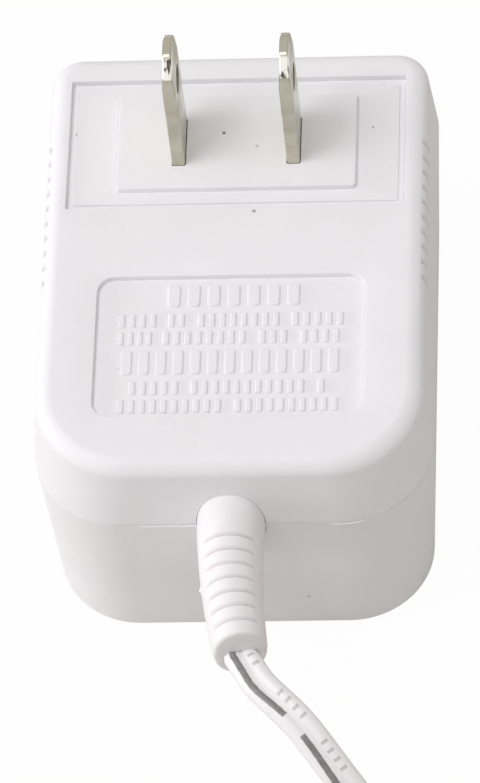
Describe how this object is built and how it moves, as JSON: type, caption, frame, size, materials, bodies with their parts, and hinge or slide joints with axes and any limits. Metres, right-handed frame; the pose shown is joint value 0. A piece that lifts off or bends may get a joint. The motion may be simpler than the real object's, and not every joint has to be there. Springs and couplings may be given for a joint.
{
  "type": "power adapter",
  "caption": "Wall-plug power adapter: drafted split case with flat blades on a stepped face, a ribbed strain relief, and a coiled flat lead that ends in a coaxial plug.",
  "frame": {"origin": "middle of the case's back face, which rests on the surface", "axes": "+Z out of the plug face along the blades, +Y towards the blade end of the case, +X to the right seen from the plug face with the blades up; the lead leaves towards -Y"},
  "size_m": [0.0702, 0.1442, 0.0495],
  "materials": {
    "case_white": "fine moulded texture, white",
    "boot_white": "soft satin, white",
    "cord_white": "smooth soft plastic, white",
    "nickel": "nickel plated, worn at the tips",
    "silicon_iron": "stacked sheet edges",
    "bobbin_plastic": "moulded, natural",
    "copper_wire": "enamelled windings",
    "yellow_tape": "thin wrap",
    "fuse_body": "plain",
    "board_laminate": "bare laminate",
    "black_epoxy": "moulded",
    "can_sleeve": "shrunk sleeve",
    "mains_wire": "smooth",
    "winding_wire": "smooth"
  },
  "bodies": {
    "root": {"front_cover": "case_white", "rear_cover": "case_white", "blade_left": "nickel", "blade_right": "nickel", "transformer_core": "silicon_iron", "bobbin": "bobbin_plastic", "primary_winding": "copper_wire", "secondary_winding": "copper_wire", "primary_tape": "yellow_tape", "secondary_tape": "yellow_tape", "thermal_fuse": "fuse_body", "terminal_pin_1": "nickel", "terminal_pin_2": "nickel", "terminal_pin_3": "nickel", "terminal_pin_4": "nickel", "circuit_board": "board_laminate", "rectifier_diode_1": "black_epoxy", "rectifier_diode_2": "black_epoxy", "rectifier_diode_3": "black_epoxy", "rectifier_diode_4": "black_epoxy", "smoothing_capacitor": "can_sleeve", "blade_lead_left": "mains_wire", "blade_lead_right": "mains_wire", "winding_lead_left": "winding_wire", "winding_lead_right": "winding_wire", "output_lead_left": "cord_white", "output_lead_right": "cord_white", "strain_relief": "boot_white", "cord_run": "cord_white", "cord_coil": "cord_white", "cord_tail": "cord_white", "cord_tie": "black_epoxy", "plug_grip": "boot_white", "plug_sleeve": "nickel", "plug_liner": "black_epoxy", "plug_contact": "nickel"}
  },
  "joints": []
}
